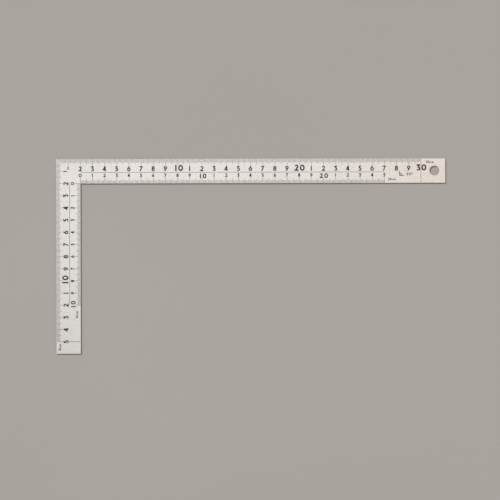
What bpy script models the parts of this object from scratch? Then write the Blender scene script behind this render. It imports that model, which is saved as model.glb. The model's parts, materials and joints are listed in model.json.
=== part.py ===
"""Steel square: a flat L blanked from one sheet, with a hang hole near the end of the long arm.

Metres, +Z up. The square lies flat with its underside at z = 0. The origin is where the centre
lines of the two arms cross; the long arm runs along +X and the short arm along -Y.
"""
import bpy
import bmesh

# Driving dimensions, in metres.
LONG_ARM = 0.320            # outer corner to the end of the long arm
SHORT_ARM = 0.160           # outer corner to the end of the short arm
ARM_WIDTH = 0.020           # both arms
THICKNESS = 0.001           # sheet gauge
EDGE_BREAK = 0.00008        # chamfer left by deburring the blanked edges
HOLE_DIAMETER = 0.008       # hang hole
HOLE_FROM_END = 0.009       # centre of the hang hole to the end of the long arm

# Places that follow from them.
HALF_WIDTH = ARM_WIDTH / 2
LONG_END_X = LONG_ARM - HALF_WIDTH
SHORT_END_Y = HALF_WIDTH - SHORT_ARM
HOLE_X = LONG_END_X - HOLE_FROM_END

# Modelling values.
MERGE_DISTANCE = 0.00001
HOLE_FACETS = 96
PUNCH_OVERSHOOT = 0.002     # the punch runs this far past both faces of the sheet
SHARP_ANGLE = 0.5           # radians; the hole's wall is smooth, its rim is sharp

# Satin stainless steel.
STEEL_COLOUR = (0.76, 0.72, 0.68, 1.0)
STEEL_ROUGHNESS = 0.42
STEEL_METALLIC = 1.0


def clear_scene():
    for old in list(bpy.data.objects):
        bpy.data.objects.remove(old, do_unlink=True)


def new_collection(name):
    collection = bpy.data.collections.new(name)
    bpy.context.scene.collection.children.link(collection)
    return collection


def satin_steel():
    material = bpy.data.materials.new("satin_steel")
    material.use_nodes = True
    shader = material.node_tree.nodes["Principled BSDF"]
    shader.inputs["Base Color"].default_value = STEEL_COLOUR
    shader.inputs["Roughness"].default_value = STEEL_ROUGHNESS
    shader.inputs["Metallic"].default_value = STEEL_METALLIC
    return material


def blank_outline():
    """The six corners of the L, anticlockwise from the inner corner."""
    return [
        (HALF_WIDTH, -HALF_WIDTH),
        (LONG_END_X, -HALF_WIDTH),
        (LONG_END_X, HALF_WIDTH),
        (-HALF_WIDTH, HALF_WIDTH),
        (-HALF_WIDTH, SHORT_END_Y),
        (HALF_WIDTH, SHORT_END_Y),
    ]


def sheet_curve(name, outline):
    """A flat outline given the sheet's thickness, standing on z = 0."""
    curve = bpy.data.curves.new(name, "CURVE")
    curve.dimensions = "2D"
    curve.fill_mode = "BOTH"
    curve.extrude = THICKNESS / 2
    spline = curve.splines.new("POLY")
    spline.points.add(len(outline) - 1)
    for point, (x, y) in zip(spline.points, outline):
        point.co = (x, y, 0.0, 1.0)
    spline.use_cyclic_u = True
    obj = bpy.data.objects.new(name, curve)
    obj.location = (0.0, 0.0, THICKNESS / 2)
    return obj


def curve_to_mesh(curve_object, name, collection):
    """Replace a curve object with a welded mesh object in the same place."""
    bpy.context.view_layer.update()
    depsgraph = bpy.context.evaluated_depsgraph_get()
    mesh = bpy.data.meshes.new_from_object(curve_object.evaluated_get(depsgraph))
    mesh.name = name
    welded = bmesh.new()
    welded.from_mesh(mesh)
    bmesh.ops.remove_doubles(welded, verts=welded.verts, dist=MERGE_DISTANCE)
    welded.to_mesh(mesh)
    welded.free()
    obj = bpy.data.objects.new(name, mesh)
    obj.matrix_world = curve_object.matrix_world
    bpy.data.objects.remove(curve_object, do_unlink=True)
    collection.objects.link(obj)
    return obj


def hole_punch(collection):
    """The cutter for the hang hole."""
    bpy.ops.mesh.primitive_cylinder_add(
        vertices=HOLE_FACETS,
        radius=HOLE_DIAMETER / 2,
        depth=THICKNESS + 2 * PUNCH_OVERSHOOT,
        location=(HOLE_X, 0.0, THICKNESS / 2),
    )
    punch = bpy.context.object
    punch.name = "hole_punch"
    punch.hide_render = True
    punch.display_type = "WIRE"
    for other in list(punch.users_collection):
        other.objects.unlink(punch)
    collection.objects.link(punch)
    return punch


def punch_hole(blade, punch):
    cut = blade.modifiers.new("hang_hole", "BOOLEAN")
    cut.operation = "DIFFERENCE"
    cut.solver = "EXACT"
    cut.object = punch


def break_edges(blade):
    """The deburred edges, all round the outline and the hole, on both faces."""
    bevel = blade.modifiers.new("edge_break", "BEVEL")
    bevel.width = EDGE_BREAK
    bevel.segments = 1
    bevel.limit_method = "ANGLE"
    bevel.use_clamp_overlap = False


def square_blade(parts, cutters):
    temporary = sheet_curve("blade_outline", blank_outline())
    parts.objects.link(temporary)
    blade = curve_to_mesh(temporary, "square_blade", parts)
    blade.data.materials.clear()
    blade.data.materials.append(satin_steel())
    blade.data.shade_smooth()
    blade.data.set_sharp_from_angle(angle=SHARP_ANGLE)
    punch_hole(blade, hole_punch(cutters))
    break_edges(blade)
    return blade


clear_scene()
square_blade(new_collection("steel_square"), new_collection("cutters"))
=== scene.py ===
"""The looks of a satin steel square: etched blade, painted marks, floor, light and camera.

Shapes are worked out in millimetres on the blade's own plane, then built in metres.
"""
import json
import math

import bpy
import numpy as np
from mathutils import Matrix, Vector
from mathutils.geometry import delaunay_2d_cdt


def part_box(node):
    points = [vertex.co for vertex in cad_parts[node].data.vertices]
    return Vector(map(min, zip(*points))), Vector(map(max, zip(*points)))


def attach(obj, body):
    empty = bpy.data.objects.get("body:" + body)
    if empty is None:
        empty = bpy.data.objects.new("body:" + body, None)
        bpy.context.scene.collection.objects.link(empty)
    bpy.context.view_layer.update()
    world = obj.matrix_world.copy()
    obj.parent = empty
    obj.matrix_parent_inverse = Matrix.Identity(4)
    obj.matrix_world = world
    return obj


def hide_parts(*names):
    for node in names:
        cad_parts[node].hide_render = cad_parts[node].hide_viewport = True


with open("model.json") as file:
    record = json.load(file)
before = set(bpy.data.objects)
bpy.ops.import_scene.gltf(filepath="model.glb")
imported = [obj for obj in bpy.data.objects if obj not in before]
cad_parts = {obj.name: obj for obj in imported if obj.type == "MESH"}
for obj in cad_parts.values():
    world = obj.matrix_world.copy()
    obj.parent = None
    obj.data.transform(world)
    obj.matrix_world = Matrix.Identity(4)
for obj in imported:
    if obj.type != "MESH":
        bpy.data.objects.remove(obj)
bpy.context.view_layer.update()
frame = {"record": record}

MM = 0.001

# The blade as the frame gives it. Its origin is where the arms' centre lines cross.
LOW, HIGH = (np.array(corner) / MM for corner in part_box("square_blade"))
OUTER_CORNER = np.array([LOW[0], HIGH[1]])
ARM_WIDTH = -2 * LOW[0]
FRONT_Z, BACK_Z = HIGH[2], LOW[2]
OPENINGS = {opening["name"]: opening for opening in frame["record"]["physics"]["openings"]}
HOLE_CENTRE = np.mean(OPENINGS["hang_hole"]["box_m"], axis=0)[:2] / MM
HOLE_RADIUS = 4.0           # millimetres

# Edges and etching, in millimetres.
EDGE_ROUND = 0.08           # radius left on every edge by deburring
EDGE_STEPS = 3              # flats across a quarter turn of it
HOLE_SIDES = 96
SHARP_ANGLE = math.radians(40)
ETCH_DEPTH = 0.025
ETCH_SLOPE = 0.04           # how far a mark's sloping side runs in from its rim
MERGE = 0.0005              # points closer than this become one

# Graduations, in millimetres. A length is how far a line runs in from its edge, for each step.
LINE_WIDTH = 0.28
LINE_START = 0.14
OUTER_LENGTHS = {10: 5.0, 5: 4.1, 1: 3.0}
INNER_LENGTHS = {10: 4.5, 5: 3.5, 1: 2.5}
CORNER_CLEARANCE = 0.3      # keeps the two arms' first graduations apart
CENTRE_DEPTH = 11.0         # the long centre line, from the outer edge
RULE_GAP = 0.3              # between a numeral's foot and the rule that goes on below it

# How far past the last graduation each arm's unit marks are centred: outer scale, inner scale.
UNIT_GAPS = {"long": (7.2, 6.0), "short": (4.8, 7.9)}

# How far before the long arm's last graduation the right-angle sign starts and its figures are centred.
ANGLE_SIGN_SETBACK = 17.8
ANGLE_FIGURES_SETBACK = 9.4

# Strokes. The overlap and the height of c and m are in numeral heights.
BEND_STEP = 12.0            # degrees of arc in one side of a curved stroke
STROKE_OVERLAP = 0.04       # how far a straight stroke runs into a round one
SMALL_LETTER = 0.6

# Colours.
STEEL_DARK = (0.59, 0.568, 0.55, 1)
STEEL_LIGHT = (0.95, 0.915, 0.887, 1)
STEEL_BRIGHT = (0.97, 0.94, 0.91, 1)
PAINT_BLACK = (0.011, 0.011, 0.012, 1)
PAINT_GREY = (0.028, 0.027, 0.027, 1)
PAINT_SPECK = (0.12, 0.115, 0.11, 1)
FLOOR_DARK = (0.256, 0.244, 0.23, 1)
FLOOR_LIGHT = (0.266, 0.253, 0.239, 1)
BACKGROUND = (1.0, 0.993, 0.98, 1)

# The floor: a disc that fades out to the background, in metres.
FLOOR_RADIUS = 3.4
FLOOR_SIDES = 96
FADE_START = 0.9
FLOOR_GAP = 0.02            # millimetres, which keep it just clear of the blade

# The background's strength low down and overhead, and the sines of the elevations between them.
HORIZON, ZENITH = 0.9, 0.3
HORIZON_END, ZENITH_START = 0.35, 0.85

# The lamps, in metres and watts; the sun's power is in watts per square metre.
OVERHEAD = {
    "place": (-0.05, 0.25, 1.5),
    "aim": (0.05, 0.0, 0.0),
    "power": 4.65,
    "colour": (1.0, 1.0, 1.0),
}
OVERHEAD_SIZE = 1.5
WARM_SIDE = {
    "place": (0.95, 0.0, 1.3),
    "aim": (0.25, 0.0, 0.0),
    "power": 1.25,
    "colour": (1.0, 0.66, 0.34),
}
WARM_SIDE_SIZE = 0.9
LOW_KEY = {
    "place": (-0.85, 0.9, 0.85),
    "aim": (0.0, 0.0, 0.0),
    "power": 4.4,
    "colour": (1.0, 0.98, 0.95),
}
LOW_KEY_ANGLE = math.radians(6)

# The view: its centre and width in metres, and how far the ruler lies out of square, in radians.
VIEW_CENTRE = (0.1493, -0.0650)
VIEW_WIDTH = 0.4111
VIEW_TURN = -0.0023
LENS, SENSOR = 85.0, 36.0   # millimetres


# ---------------------------------------------------------------- strokes and numerals

class Pen:
    """Draws strokes of one width as convex polygons, each made smaller all round by the inset."""

    def __init__(self, width, inset):
        self.width = width
        self.inset = inset
        self.polygons = []

    def line(self, start, end, cuts="square"):
        """A straight stroke. Each end is cut square to it, or level, parallel to the baseline."""
        start, end = np.array(start, float), np.array(end, float)
        along = (end - start) / np.linalg.norm(end - start)
        half = self.width / 2 - self.inset
        side = {"square": half * np.array([-along[1], along[0]])}
        trim = {"square": self.inset * along}
        if "level" in cuts:
            side["level"] = half / along[1] * np.array([-1.0, 0.0])
            trim["level"] = self.inset * along / abs(along[1])
        first, last = (cuts, cuts) if isinstance(cuts, str) else cuts
        start, end = start + trim[first], end - trim[last]
        self.polygons.append(
            np.array([start + side[first], start - side[first], end - side[last], end + side[last]])
        )

    def bend(self, centre, radii, first=0.0, last=360.0):
        """A curved stroke along an ellipse, between two angles in degrees."""
        sides = math.ceil(abs(last - first) / BEND_STEP)
        angles = np.radians(np.linspace(first, last, sides + 1))
        if abs(last - first) < 360.0:
            trim = math.copysign(self.inset / min(radii), last - first)
            angles[0] += trim
            angles[-1] -= trim
        turn = np.column_stack([np.cos(angles), np.sin(angles)])
        middle = np.array(centre) + turn * radii
        normal = turn / radii
        normal *= (self.width / 2 - self.inset) / np.linalg.norm(normal, axis=1)[:, None]
        outer, inner = middle + normal, middle - normal
        for i in range(sides):
            self.polygons.append(np.array([inner[i], outer[i], outer[i + 1], inner[i + 1]]))

    def tangent(self, centre, radius, end):
        """A straight stroke off a round one to a level end. Returns the angle where it leaves."""
        offset = np.array(end) - centre
        touch = math.atan2(offset[1], offset[0]) + math.acos(radius / np.linalg.norm(offset))
        point = np.array(centre) + radius * np.array([math.cos(touch), math.sin(touch)])
        overlap = STROKE_OVERLAP * (point - end) / np.linalg.norm(point - end)
        self.line(point + overlap, end, ("square", "level"))
        return math.degrees(touch)


# Each numeral stands on y = 0, is 1 high and is centred on x = 0. Angles are in degrees.

def zero(pen, half_width):
    half = pen.width / 2
    pen.bend((0, 0.5), (half_width - half, 0.5 - half))


def round_zero(pen):
    zero(pen, half_width=0.45)


def oval_zero(pen):
    zero(pen, half_width=0.385)


def narrow_zero(pen):
    zero(pen, half_width=0.34)


def one(pen):
    pen.line((0, 0), (0, 1))


def two(pen):
    half = pen.width / 2
    bowl, foot, hook_end = 0.3, 0.33, 172
    centre, radius = (0, 1 - bowl), bowl - half
    slant_foot = (-foot + 1.3 * half, 0)
    touch = pen.tangent(centre, radius, slant_foot)
    pen.bend(centre, (radius, radius), hook_end, touch)
    pen.line((-foot, half), (foot, half))


def three(pen):
    """Flat-topped: a bar, a slanting stroke down from its right end, and a bowl."""
    half = pen.width / 2
    bar, bowl, hook_end = 0.28, 0.33, -148
    centre, radius = (-0.01, bowl), bowl - half
    slant_top = (bar - 1.35 * half, 1 - half)
    slant_foot = (-0.07, 0.68 - pen.width)
    pen.line((-bar, 1 - half), (bar, 1 - half))
    pen.line(slant_top, slant_foot, "level")
    pen.bend(centre, (radius, radius), 90, hook_end)


def four(pen):
    half = pen.width / 2
    stem, bar = 0.12, 0.31
    left, right = -0.38, 0.32
    slant_top = (stem - 0.4 * half, 1)
    slant_foot = (left + 1.2 * half, bar - half)
    pen.line((stem, 0), (stem, 1))
    pen.line((left, bar), (right, bar))
    pen.line(slant_top, slant_foot, "level")


def five(pen):
    half = pen.width / 2
    left, right = -0.22, 0.24
    bowl, bowl_start, hook_end = 0.34, 122, -145
    centre, radius = (-0.03, bowl), bowl - half
    stem_top = (-0.205 + half, 1)
    stem_foot = (-0.25 + half, 0.47)
    pen.line((left, 1 - half), (right, 1 - half))
    pen.line(stem_top, stem_foot, "level")
    pen.bend(centre, (radius, radius), bowl_start, hook_end)


def six(pen, bowl=0.35, lean=0.1):
    """A round bowl, and a straight stroke that rises off its left side and leans to the right."""
    centre, radius = (0, bowl), bowl - pen.width / 2
    pen.bend(centre, (radius, radius))
    pen.tangent(centre, radius, (lean, 1))


def seven(pen):
    half = pen.width / 2
    bar, foot = 0.32, -0.17
    slant_top = (bar - 1.05 * half, 1)
    pen.line((-bar, 1 - half), (bar, 1 - half))
    pen.line(slant_top, (foot, 0), "level")


def eight(pen):
    half = pen.width / 2
    upper, lower = 0.28 - half, 0.31 - half
    widening = 1.08
    pen.bend((0, 1 - half - upper), (widening * upper, upper))
    pen.bend((0, half + lower), (widening * lower, lower))


def nine(pen):
    """A turned six, with a slightly smaller bowl and more lean."""
    upright = Pen(pen.width, pen.inset)
    six(upright, bowl=0.33, lean=0.14)
    pen.polygons += [np.array([0, 1]) - polygon for polygon in upright.polygons]


def small_c(pen):
    radius = SMALL_LETTER / 2 - pen.width / 2
    mouth = 42
    pen.bend((0, SMALL_LETTER / 2), (radius, radius), mouth, 360 - mouth)


def small_m(pen):
    radius = 0.16
    spring = SMALL_LETTER - pen.width / 2 - radius
    overlap = 0.2 * radius
    for x in (-2 * radius, 0, 2 * radius):
        pen.line((x, 0), (x, spring + overlap))
    for x in (-radius, radius):
        pen.bend((x, spring), (radius, radius), 0, 180)


def degree_ring(pen):
    outer = 0.24
    radius = outer - pen.width / 2
    pen.bend((0, 1 - outer), (radius, radius))


def right_angle(pen):
    """Two arms and a small square between them, 1 high and 1 wide, with the corner at x = 0."""
    half = pen.width / 2
    inner = 0.42
    pen.line((half, 0), (half, 1))
    pen.line((0, half), (1, half))
    pen.line((0, inner), (inner + half, inner))
    pen.line((inner, 0), (inner, inner + half))


# ---------------------------------------------------------------- where the marks go

NUMERALS = (round_zero, one, two, three, four, five, six, seven, eight, nine)

# Plain numerals stand a hair before their graduation, in millimetres.
NUMERAL_LEAD = 0.15

# How far each figure of 10, 20 and 30 stands from its graduation, in heights of the numeral.
TENS_OFFSETS = {1: -0.29, 2: -0.45, 3: -0.42}
TENS_ZERO_OFFSET = 0.47

# A run of small figures: what draws each, and how wide it is in heights of a numeral.
SMALL_FIGURES = {
    "0": (narrow_zero, 0.68),
    "1": (one, 0.16),
    "2": (two, 0.58),
    "3": (three, 0.6),
    "5": (five, 0.5),
    "9": (nine, 0.66),
    "c": (small_c, 0.56),
    "m": (small_m, 0.78),
    "\u00b0": (degree_ring, 0.48),
}
SMALL_GAP = 0.16


class Style:
    """The height, baseline depth and stroke of a row of numerals, in millimetres.

    Pairs such as 10 are set wider apart by pair_spacing.
    """

    def __init__(self, height, baseline, stroke, pair_spacing=1.0):
        self.height = height
        self.baseline = baseline
        self.stroke = stroke
        self.pair_spacing = pair_spacing


OUTER_NUMERALS = Style(height=4.2, baseline=10.05, stroke=0.87)
OUTER_TENS = Style(height=5.15, baseline=10.0, stroke=1.12)
CORNER_NUMERAL = Style(height=2.9, baseline=8.85, stroke=0.8)
INNER_NUMERALS = Style(height=2.95, baseline=14.9, stroke=0.67)
INNER_TENS = Style(height=3.9, baseline=15.95, stroke=0.88, pair_spacing=1.12)
OUTER_UNIT = Style(height=2.05, baseline=3.85, stroke=0.44)
INNER_UNIT = Style(height=2.05, baseline=17.85, stroke=0.44)
ANGLE_SIGN = Style(height=3.9, baseline=14.2, stroke=0.56)
ANGLE_FIGURES = Style(height=2.4, baseline=14.0, stroke=0.42)


class Arm:
    """One arm of one face. A place on it is a distance from the outer corner and a depth.

    The depth is measured in from the outer edge.
    """

    def __init__(self, name, along, inward, reading, outer_end, inner_end):
        self.name = name
        self.along = np.array(along, float)
        self.inward = np.array(inward, float)
        self.reading = reading              # 1 if the numerals read away from the corner, or -1
        self.outer_end = outer_end          # last graduation of the outer scale
        self.inner_end = inner_end          # last graduation of the inner scale, from the inner corner

    def on_blade(self, places):
        return OUTER_CORNER + places[:, :1] * self.along + places[:, 1:] * self.inward

    def upright(self, at, style):
        """Maps a numeral's own points to the blade, its foot centred at a distance along the arm."""
        def on_blade(points):
            across = at + self.reading * style.height * points[:, 0]
            depth = style.baseline - style.height * points[:, 1]
            return self.on_blade(np.column_stack([across, depth]))
        return on_blade


def arms_of_face(reading):
    """The short arm's numerals are turned, so that their tops also face its outer edge."""
    return [
        Arm("long", along=(1, 0), inward=(0, -1), reading=reading, outer_end=300, inner_end=250),
        Arm("short", along=(0, -1), inward=(1, 0), reading=-reading, outer_end=150, inner_end=100),
    ]


class Etching:
    """The marks of one face as polygons: rims, each with its piece's name, and floors."""

    def __init__(self, face):
        self.face = face
        self.pieces = []
        self.rims = []
        self.floors = []

    def draw(self, piece, picture, stroke, place, unit=1.0):
        """Etch a picture, which draws with a pen in its own unit of length, where place maps it."""
        for inset, polygons in ((0.0, self.rims), (ETCH_SLOPE, self.floors)):
            pen = Pen(stroke / unit, inset / unit)
            picture(pen)
            polygons += [place(polygon) for polygon in pen.polygons]
        self.pieces += [f"{self.face}_{piece}"] * (len(self.rims) - len(self.pieces))

    def rule(self, piece, arm, start, end):
        """A thin straight line between two places on an arm."""
        self.draw(piece, lambda pen: pen.line(start, end), LINE_WIDTH, arm.on_blade)

    def figure(self, piece, arm, picture, at, style):
        self.draw(piece, picture, style.stroke, arm.upright(at, style), style.height)

    def number(self, piece, arm, value, at, plain, tens):
        """One plain figure for a centimetre, or two larger ones either side of a tenth one."""
        if value == 0 or value % 10:
            self.figure(piece, arm, NUMERALS[value % 10], at - arm.reading * NUMERAL_LEAD, plain)
            return
        step = arm.reading * tens.height * tens.pair_spacing
        self.figure(piece, arm, NUMERALS[value // 10], at + step * TENS_OFFSETS[value // 10], tens)
        self.figure(piece, arm, oval_zero, at + step * TENS_ZERO_OFFSET, tens)

    def small_text(self, piece, arm, text, centre, style):
        """A short run of small figures, centred at a distance along the arm."""
        widths = [SMALL_FIGURES[figure][1] for figure in text]
        edge = -(sum(widths) + SMALL_GAP * (len(text) - 1)) / 2
        for figure, width in zip(text, widths):
            at = centre + arm.reading * style.height * (edge + width / 2)
            self.figure(piece, arm, SMALL_FIGURES[figure][0], at, style)
            edge += width + SMALL_GAP


def line_length(millimetre, lengths):
    return next(length for step, length in lengths.items() if millimetre % step == 0)


def etch_outer_scale(etching, arm):
    for mm in range(1, arm.outer_end):
        length = min(line_length(mm, OUTER_LENGTHS), mm - CORNER_CLEARANCE)
        etching.rule(f"{arm.name}_outer_graduations", arm, (mm, LINE_START), (mm, length))
    for cm in range(1, arm.outer_end // 10 + 1):
        plain = CORNER_NUMERAL if cm == 1 else OUTER_NUMERALS
        etching.number(f"{arm.name}_outer_numerals", arm, cm, 10 * cm, plain, OUTER_TENS)


def etch_inner_scale(etching, arm):
    edge = ARM_WIDTH - LINE_START
    for mm in range(arm.inner_end + 1):
        at = ARM_WIDTH + mm
        length = line_length(mm, INNER_LENGTHS)
        etching.rule(f"{arm.name}_inner_graduations", arm, (at, edge), (at, ARM_WIDTH - length))
    for cm in range(arm.inner_end // 10 + 1):
        at = ARM_WIDTH + 10 * cm
        etching.number(f"{arm.name}_inner_numerals", arm, cm, at, INNER_NUMERALS, INNER_TENS)


def etch_rules(etching, arm):
    """The centre line between the two scales, and the full-width line that ends the outer one."""
    piece = f"{arm.name}_rules"
    etching.rule(piece, arm, (ARM_WIDTH, CENTRE_DEPTH), (ARM_WIDTH + arm.inner_end, CENTRE_DEPTH))
    last, edge = arm.outer_end, ARM_WIDTH - LINE_START
    ends_on_tens = last % 100 == 0
    if ends_on_tens:        # its two figures stand clear of the line; a plain one stands on it
        etching.rule(piece, arm, (last, LINE_START), (last, edge))
    else:
        etching.rule(piece, arm, (last, LINE_START), (last, OUTER_LENGTHS[10]))
        etching.rule(piece, arm, (last, OUTER_NUMERALS.baseline + RULE_GAP), (last, edge))


def etch_unit_marks(etching, arm):
    piece = f"{arm.name}_unit_marks"
    outer_gap, inner_gap = UNIT_GAPS[arm.name]
    outer_text, inner_text = f"{arm.outer_end // 10}cm", f"{arm.inner_end // 10}cm"
    etching.small_text(piece, arm, outer_text, arm.outer_end + outer_gap, OUTER_UNIT)
    etching.small_text(piece, arm, inner_text, ARM_WIDTH + arm.inner_end + inner_gap, INNER_UNIT)


def etch_angle_sign(etching, arm):
    """A plain right-angle sign and its value, near the end of the long arm."""
    piece = "right_angle_sign"
    etching.figure(piece, arm, right_angle, arm.outer_end - ANGLE_SIGN_SETBACK, ANGLE_SIGN)
    etching.small_text(piece, arm, "90\u00b0", arm.outer_end - ANGLE_FIGURES_SETBACK, ANGLE_FIGURES)


def etch_face(face, reading):
    etching = Etching(face)
    for arm in arms_of_face(reading):
        etch_outer_scale(etching, arm)
        etch_inner_scale(etching, arm)
        etch_rules(etching, arm)
        etch_unit_marks(etching, arm)
        if face == "front" and arm.name == "long":
            etch_angle_sign(etching, arm)
    return etching


# ---------------------------------------------------------------- from marks to meshes

def inset_loop(loop, distance):
    """A closed loop moved towards the side on its left, with mitred corners."""
    ahead = np.roll(loop, -1, axis=0) - loop
    left = np.column_stack([-ahead[:, 1], ahead[:, 0]]) / np.linalg.norm(ahead, axis=1)[:, None]
    before = np.roll(left, 1, axis=0)
    spread = 1 + np.sum(left * before, axis=1, keepdims=True)
    return loop + distance * (left + before) / spread


def blade_outline():
    """The six corners of the L, anticlockwise, so that the steel is on the left."""
    (left, bottom), (right, top) = LOW[:2], HIGH[:2]
    inner_x, inner_y = left + ARM_WIDTH, top - ARM_WIDTH
    return np.array([
        (inner_x, inner_y),
        (right, inner_y),
        (right, top),
        (left, top),
        (left, bottom),
        (inner_x, bottom),
    ])


def hole_outline():
    """The hang hole, clockwise, so that the steel is on the left."""
    turn = -2 * math.pi * np.arange(HOLE_SIDES) / HOLE_SIDES
    return HOLE_CENTRE + HOLE_RADIUS * np.column_stack([np.cos(turn), np.sin(turn)])


def is_anticlockwise(polygon):
    x, y = polygon[:, 0], polygon[:, 1]
    return np.sum(x * np.roll(y, -1) - np.roll(x, -1) * y) > 0


def triangulate(polygons, extra_points):
    """Triangles whose edges follow every polygon.

    Returns the points, the triangles, which polygons hold each triangle, and where each polygon's
    corners are among the points.
    """
    corners, faces = [], []
    for polygon in polygons:
        ids = list(range(len(corners), len(corners) + len(polygon)))
        corners += [Vector(point) for point in polygon]
        faces.append(ids if is_anticlockwise(polygon) else ids[::-1])
    corners += [Vector(point) for point in extra_points]
    points, _, triangles, origins, _, holders = delaunay_2d_cdt(corners, [], faces, 0, MERGE)
    places = {corner: place for place, merged in enumerate(origins) for corner in merged}
    return np.array(points), triangles, holders, places


class Sheet:
    """One face of the blade: its points, which of them are sunk, and its triangles.

    A triangle is steel or belongs to a mark. The polygons are the outline, the hole, then the rims
    and last the floors of the marks.
    """

    OUTLINE, HOLE, FIRST_RIM = 0, 1, 2

    def __init__(self, etching):
        outline, hole = blade_outline(), hole_outline()
        self.etching = etching
        polygons = [inset_loop(outline, EDGE_ROUND), inset_loop(hole, EDGE_ROUND)]
        polygons += etching.rims + etching.floors
        extra_points = []
        while True:
            self.points, triangles, holders, places = triangulate(polygons, extra_points)
            self.sort_triangles(triangles, holders)
            rim_to_rim = self.rim_to_rim_edges()
            if not rim_to_rim:
                break
            extra_points += [self.points[list(edge)].mean(axis=0) for edge in rim_to_rim]
        self.outline_loop = [places[i] for i in range(len(outline))]
        self.hole_loop = [places[len(outline) + i] for i in range(len(hole))]

    def sort_triangles(self, triangles, holders):
        """Keep the blade's triangles, and find the points that only marks touch: those are sunk."""
        self.steel, self.marks = [], {}
        end_of_rims = self.FIRST_RIM + len(self.etching.rims)
        for triangle, inside in zip(triangles, holders):
            if self.OUTLINE not in inside or self.HOLE in inside:
                continue
            rims = [i for i in inside if self.FIRST_RIM <= i < end_of_rims]
            if rims:
                piece = self.etching.pieces[min(rims) - self.FIRST_RIM]
                self.marks.setdefault(piece, []).append(tuple(triangle))
            else:
                self.steel.append(tuple(triangle))
        self.sunk = np.ones(len(self.points), bool)
        self.sunk[np.unique(self.steel)] = False

    def rim_to_rim_edges(self):
        """Edges inside a mark with both ends on its rim. They need a sunk point between them."""
        uses = {}
        for triangles in self.marks.values():
            for a, b, c in triangles:
                for edge in ((a, b), (b, c), (c, a)):
                    uses.setdefault(tuple(sorted(edge)), []).append(edge)
        inside = [edge for edge, users in uses.items() if len(users) == 2]
        return [edge for edge in inside if not self.sunk[list(edge)].any()]


def new_object(name, vertices, faces):
    """A mesh object from points in millimetres."""
    mesh = bpy.data.meshes.new(name)
    mesh.from_pydata([Vector(v) * MM for v in vertices], [], faces)
    mesh.update()
    obj = bpy.data.objects.new(name, mesh)
    bpy.context.scene.collection.objects.link(obj)
    return obj


def painted_mark(name, sheet, surface, into):
    """The paint in one piece's marks: flush with the steel, and down to the marks' floors.

    Surface is the height of the face, and into is -1 or 1, which way the steel lies from there.
    """
    triangles = sheet.marks[name]
    used = sorted({i for triangle in triangles for i in triangle})
    top = {i: place for place, i in enumerate(used)}
    sunk = [i for i in used if sheet.sunk[i]]
    under = {**top, **{i: len(used) + place for place, i in enumerate(sunk)}}
    vertices = [(*sheet.points[i], surface) for i in used]
    vertices += [(*sheet.points[i], surface + into * ETCH_DEPTH) for i in sunk]
    upward, downward = [], []
    for a, b, c in triangles:
        upward.append((top[a], top[b], top[c]))
        downward.append((under[c], under[b], under[a]))
    faces = upward + downward
    if into > 0:
        faces = [face[::-1] for face in faces]
    return new_object(name, vertices, faces)


class BladeBuilder:
    """Collects the blade's vertices and faces in millimetres."""

    def __init__(self):
        self.vertices = []
        self.faces = []
        self.is_edge = []

    def add_sheet(self, sheet, surface, into):
        """One etched face. Returns where its points start."""
        start = len(self.vertices)
        depth = np.where(sheet.sunk, surface + into * ETCH_DEPTH, surface)
        self.vertices += [(*point, z) for point, z in zip(sheet.points, depth)]
        triangles = sheet.steel + [t for mark in sheet.marks.values() for t in mark]
        for triangle in triangles:
            ids = [start + i for i in triangle]
            self.faces.append(ids if into < 0 else ids[::-1])
            self.is_edge.append(False)
        return start

    def add_loop(self, loop, z):
        """The points of a closed loop at one height. Returns their places."""
        start = len(self.vertices)
        self.vertices += [(*point, z) for point in loop]
        return list(range(start, start + len(loop)))

    def add_edge(self, loop, front_ids, back_ids):
        """The rounded edge along a closed loop, from its front points down to its back points."""
        turns = np.radians(np.linspace(0, 90, EDGE_STEPS + 1))[1:]
        insets = EDGE_ROUND * (1 - np.sin(turns))
        drops = EDGE_ROUND * (1 - np.cos(turns))
        loops = [inset_loop(loop, inset) for inset in insets]
        front_rows = [self.add_loop(row, FRONT_Z - drop) for row, drop in zip(loops, drops)]
        back_rows = [self.add_loop(row, BACK_Z + drop) for row, drop in zip(loops[::-1], drops[::-1])]
        rows = [front_ids, *front_rows, *back_rows, back_ids]
        for upper, lower in zip(rows, rows[1:]):
            for i in range(len(loop)):
                j = (i + 1) % len(loop)
                self.faces.append((upper[i], lower[i], lower[j], upper[j]))
                self.is_edge.append(True)


def etched_blade(front, back):
    """The whole blade: two etched faces joined by the rounded edges of its outline and its hole."""
    builder = BladeBuilder()
    front_start = builder.add_sheet(front, FRONT_Z, -1)
    back_start = builder.add_sheet(back, BACK_Z, 1)
    for loop, part in ((blade_outline(), "outline_loop"), (hole_outline(), "hole_loop")):
        front_ids = [front_start + i for i in getattr(front, part)]
        back_ids = [back_start + i for i in getattr(back, part)]
        builder.add_edge(loop, front_ids, back_ids)
    blade = new_object("etched_blade", builder.vertices, builder.faces)
    blade.data.set_sharp_from_angle(angle=SHARP_ANGLE)
    blade.data.polygons.foreach_set("use_smooth", builder.is_edge)
    blade.data.polygons.foreach_set("material_index", [int(flag) for flag in builder.is_edge])
    return blade


# ---------------------------------------------------------------- materials

def set_ranges(node, start, end, low, high):
    """Make a Map Range node turn start..end into low..high."""
    for name, number in (("From Min", start), ("From Max", end), ("To Min", low), ("To Max", high)):
        node.inputs[name].default_value = number


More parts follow.
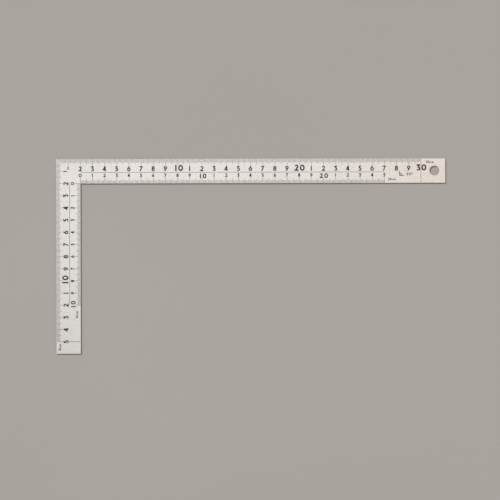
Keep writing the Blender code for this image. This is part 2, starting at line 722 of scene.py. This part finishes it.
class Surface:
    """One material's node tree, with short calls for the nodes used here.

    Places are in metres on the object, so a scale is a number of features per metre.
    """

    def __init__(self, name):
        self.material = bpy.data.materials.new(name)
        self.material.use_nodes = True
        self.tree = self.material.node_tree
        self.shader = self.tree.nodes["Principled BSDF"]
        self.place = self.tree.nodes.new("ShaderNodeTexCoord").outputs["Object"]

    def connect(self, value, socket):
        """Link a node's output to a socket, or set the socket to a plain value."""
        if isinstance(value, bpy.types.NodeSocket):
            self.tree.links.new(value, socket)
        else:
            socket.default_value = value

    def stretched(self, per_metre):
        """Places scaled by a different number of features per metre along X, Y and Z."""
        mapping = self.tree.nodes.new("ShaderNodeMapping")
        self.connect(self.place, mapping.inputs["Vector"])
        mapping.inputs["Scale"].default_value = per_metre
        return mapping.outputs["Vector"]

    def noise(self, scale, detail, place=None):
        """Smooth noise from 0 to 1, with so many features per metre."""
        noise = self.tree.nodes.new("ShaderNodeTexNoise")
        self.connect(place or self.place, noise.inputs["Vector"])
        noise.inputs["Scale"].default_value = scale
        noise.inputs["Detail"].default_value = detail
        return noise.outputs["Fac"]

    def spread(self, value, low, high, start=0.3, end=0.7):
        """Map a value from start..end to low..high, and hold it there outside."""
        spread = self.tree.nodes.new("ShaderNodeMapRange")
        set_ranges(spread, start, end, low, high)
        self.connect(value, spread.inputs["Value"])
        return spread.outputs["Result"]

    def math(self, operation, first, second):
        node = self.tree.nodes.new("ShaderNodeMath")
        node.operation = operation
        self.connect(first, node.inputs[0])
        self.connect(second, node.inputs[1])
        return node.outputs["Value"]

    def weighted(self, *parts):
        """Add up values, each times its weight."""
        products = [self.math("MULTIPLY", value, weight) for value, weight in parts]
        total = products[0]
        for product in products[1:]:
            total = self.math("ADD", total, product)
        return total

    def hairlines(self, per_metre, start, end):
        """A few thin straight scratches, 1 where there is one and 0 elsewhere."""
        drawn_out = self.noise(scale=1.0, detail=1.0, place=self.stretched(per_metre))
        return self.spread(drawn_out, low=0, high=1, start=start, end=end)

    def blend(self, factor, first, second):
        """Mix two colours."""
        mix = self.tree.nodes.new("ShaderNodeMix")
        mix.data_type = "RGBA"
        self.connect(factor, mix.inputs[0])
        self.connect(first, mix.inputs[6])
        self.connect(second, mix.inputs[7])
        return mix.outputs[2]

    def bumps(self, height, distance, below=None):
        """A normal from a height of 0 to 1 and its depth in metres, over another one if given."""
        bump = self.tree.nodes.new("ShaderNodeBump")
        bump.inputs["Distance"].default_value = distance
        self.connect(height, bump.inputs["Height"])
        if below:
            self.connect(below, bump.inputs["Normal"])
        return bump.outputs["Normal"]

    def fade(self, start, end):
        """Make the finished surface vanish between two distances from the object's origin."""
        length = self.tree.nodes.new("ShaderNodeVectorMath")
        length.operation = "LENGTH"
        self.connect(self.place, length.inputs[0])
        mix = self.tree.nodes.new("ShaderNodeMixShader")
        self.connect(self.spread(length.outputs["Value"], 0, 1, start, end), mix.inputs["Fac"])
        self.connect(self.shader.outputs["BSDF"], mix.inputs[1])
        self.connect(self.tree.nodes.new("ShaderNodeBsdfTransparent").outputs["BSDF"], mix.inputs[2])
        self.connect(mix.outputs["Shader"], self.tree.nodes["Material Output"].inputs["Surface"])

    def finish(self, **sockets):
        for name, value in sockets.items():
            self.connect(value, self.shader.inputs[name.replace("_", " ")])
        return self.material


def satin_steel():
    """Stainless steel with a pear-skin grain that glints, faint clouding and a few scratches."""
    surface = Surface("satin_steel")
    grain = surface.noise(scale=4200, detail=2.0)
    clouds = surface.noise(scale=28, detail=3.0)
    mottle = surface.noise(scale=900, detail=2.0)
    along = surface.hairlines(per_metre=(14, 9000, 1), start=0.70, end=0.78)
    across = surface.hairlines(per_metre=(9000, 14, 1), start=0.72, end=0.80)
    scratches = surface.math("MAXIMUM", along, across)
    shade = surface.weighted((grain, 0.6), (mottle, 0.25), (clouds, 0.15))
    tone = surface.spread(shade, low=0, high=1, start=0.38, end=0.62)
    colour = surface.blend(tone, STEEL_DARK, STEEL_LIGHT)
    colour = surface.blend(surface.math("MULTIPLY", scratches, 0.3), colour, STEEL_BRIGHT)
    grain_roughness = surface.spread(grain, low=0.26, high=0.40)
    cloud_roughness = surface.spread(clouds, low=-0.03, high=0.03)
    roughness = surface.math("ADD", grain_roughness, cloud_roughness)
    roughness = surface.math("SUBTRACT", roughness, surface.math("MULTIPLY", scratches, 0.05))
    normal = surface.bumps(grain, 0.012 * MM)
    normal = surface.bumps(scratches, -0.003 * MM, normal)
    return surface.finish(Base_Color=colour, Metallic=1.0, Roughness=roughness, Normal=normal)


def ground_steel():
    """The edges: painted brighter than the faces as a painted sheen for their ground finish, with fine
    grinding lines that run along them.
    """
    surface = Surface("ground_steel")
    lines = surface.noise(scale=1.0, detail=2.0, place=surface.stretched((60, 60, 14000)))
    wear_and_sheen = surface.noise(scale=120, detail=3.0)
    # Painted sheen: the edge colour runs between two tones brighter than the faces, varied by a noise
    # that also stands for wear.
    colour = surface.blend(surface.spread(wear_and_sheen, low=0, high=1), STEEL_LIGHT, STEEL_BRIGHT)
    line_roughness = surface.spread(lines, low=0.24, high=0.36)
    wear_roughness = surface.spread(wear_and_sheen, low=-0.03, high=0.03)
    roughness = surface.math("ADD", line_roughness, wear_roughness)
    normal = surface.bumps(lines, 0.008 * MM)
    return surface.finish(Base_Color=colour, Metallic=1.0, Roughness=roughness, Normal=normal)


def mark_paint():
    """Semi-matte black paint, slightly uneven where it was wiped into the etching."""
    surface = Surface("mark_paint")
    wiping = surface.noise(scale=1800, detail=3.0)
    dust = surface.noise(scale=6500, detail=1.0)
    specks = surface.spread(dust, low=0, high=1, start=0.66, end=0.74)
    colour = surface.blend(surface.spread(wiping, low=0, high=1), PAINT_BLACK, PAINT_GREY)
    colour = surface.blend(surface.math("MULTIPLY", specks, 0.35), colour, PAINT_SPECK)
    roughness = surface.spread(wiping, low=0.55, high=0.75)
    normal = surface.bumps(wiping, 0.006 * MM)
    return surface.finish(
        Base_Color=colour, Roughness=roughness, Specular_IOR_Level=0.3, Normal=normal
    )


def floor_surface():
    """A plain pale floor with the faintest texture, which fades into the background far off."""
    surface = Surface("floor")
    fibre = surface.noise(scale=900, detail=3.0)
    tone = surface.noise(scale=3.0, detail=2.0)
    colour = surface.blend(surface.spread(tone, low=0, high=1), FLOOR_DARK, FLOOR_LIGHT)
    normal = surface.bumps(fibre, 0.03 * MM)
    surface.finish(Base_Color=colour, Roughness=0.9, Specular_IOR_Level=0.1, Normal=normal)
    surface.fade(FADE_START, FLOOR_RADIUS)
    return surface.material


# ---------------------------------------------------------------- floor, light and camera

def studio_floor():
    turn = 2 * math.pi * np.arange(FLOOR_SIDES) / FLOOR_SIDES
    rim = FLOOR_RADIUS / MM * np.column_stack([np.cos(turn), np.sin(turn), np.zeros(FLOOR_SIDES)])
    floor = new_object("floor", rim + [0, 0, BACK_Z - FLOOR_GAP], [range(FLOOR_SIDES)])
    floor.data.materials.append(floor_surface())
    return floor


def studio_background():
    """Even light from all round, brightest at the horizon, which the blade mirrors from low down."""
    world = bpy.data.worlds.new("studio")
    world.use_nodes = True
    nodes, links = world.node_tree.nodes, world.node_tree.links
    split = nodes.new("ShaderNodeSeparateXYZ")
    spread = nodes.new("ShaderNodeMapRange")
    links.new(nodes.new("ShaderNodeTexCoord").outputs["Generated"], split.inputs["Vector"])
    links.new(split.outputs["Z"], spread.inputs["Value"])
    set_ranges(spread, HORIZON_END, ZENITH_START, HORIZON, ZENITH)
    links.new(spread.outputs["Result"], nodes["Background"].inputs["Strength"])
    nodes["Background"].inputs["Color"].default_value = BACKGROUND
    bpy.context.scene.world = world


def lamp(name, kind, place, aim, power, colour):
    light = bpy.data.lights.new(name, kind)
    light.energy = power
    light.color = colour
    obj = bpy.data.objects.new(name, light)
    obj.location = place
    obj.rotation_euler = (Vector(aim) - Vector(place)).to_track_quat("-Z", "Y").to_euler()
    bpy.context.scene.collection.objects.link(obj)
    return obj


def soft_disk(name, size, **settings):
    obj = lamp(name, "AREA", **settings)
    obj.data.shape = "DISK"
    obj.data.size = size


def studio_light(floor):
    """Soft light from overhead, and a low sun that only lights the floor and gives it shadows."""
    soft_disk("overhead", OVERHEAD_SIZE, **OVERHEAD)
    soft_disk("warm_side", WARM_SIDE_SIZE, **WARM_SIDE)
    low = lamp("low_key", "SUN", **LOW_KEY)
    low.data.angle = LOW_KEY_ANGLE
    floor_only = bpy.data.collections.new("floor_only")
    floor_only.objects.link(floor)
    low.light_linking.receiver_collection = floor_only


def straight_down_camera():
    """The camera looks straight down, a hair out of square with the ruler."""
    camera = bpy.data.cameras.new("camera")
    camera.sensor_width = SENSOR
    camera.lens = LENS
    distance = VIEW_WIDTH * LENS / SENSOR
    obj = bpy.data.objects.new("camera", camera)
    obj.location = (*VIEW_CENTRE, FRONT_Z * MM + distance)
    obj.rotation_euler = (0, 0, VIEW_TURN)
    bpy.context.scene.collection.objects.link(obj)
    bpy.context.scene.camera = obj


# ---------------------------------------------------------------- the object

def build_ruler():
    paint = mark_paint()
    front, back = Sheet(etch_face("front", 1)), Sheet(etch_face("back", -1))
    blade = etched_blade(front, back)
    blade.data.materials.append(satin_steel())
    blade.data.materials.append(ground_steel())
    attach(blade, "root")
    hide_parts("square_blade")
    for sheet, surface, into in ((front, FRONT_Z, -1), (back, BACK_Z, 1)):
        for name in sorted(sheet.marks):
            mark = painted_mark(name, sheet, surface, into)
            mark.data.materials.append(paint)
            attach(mark, "root")


bpy.context.scene.view_settings.view_transform = "Standard"
build_ruler()
studio_background()
studio_light(studio_floor())
straight_down_camera()
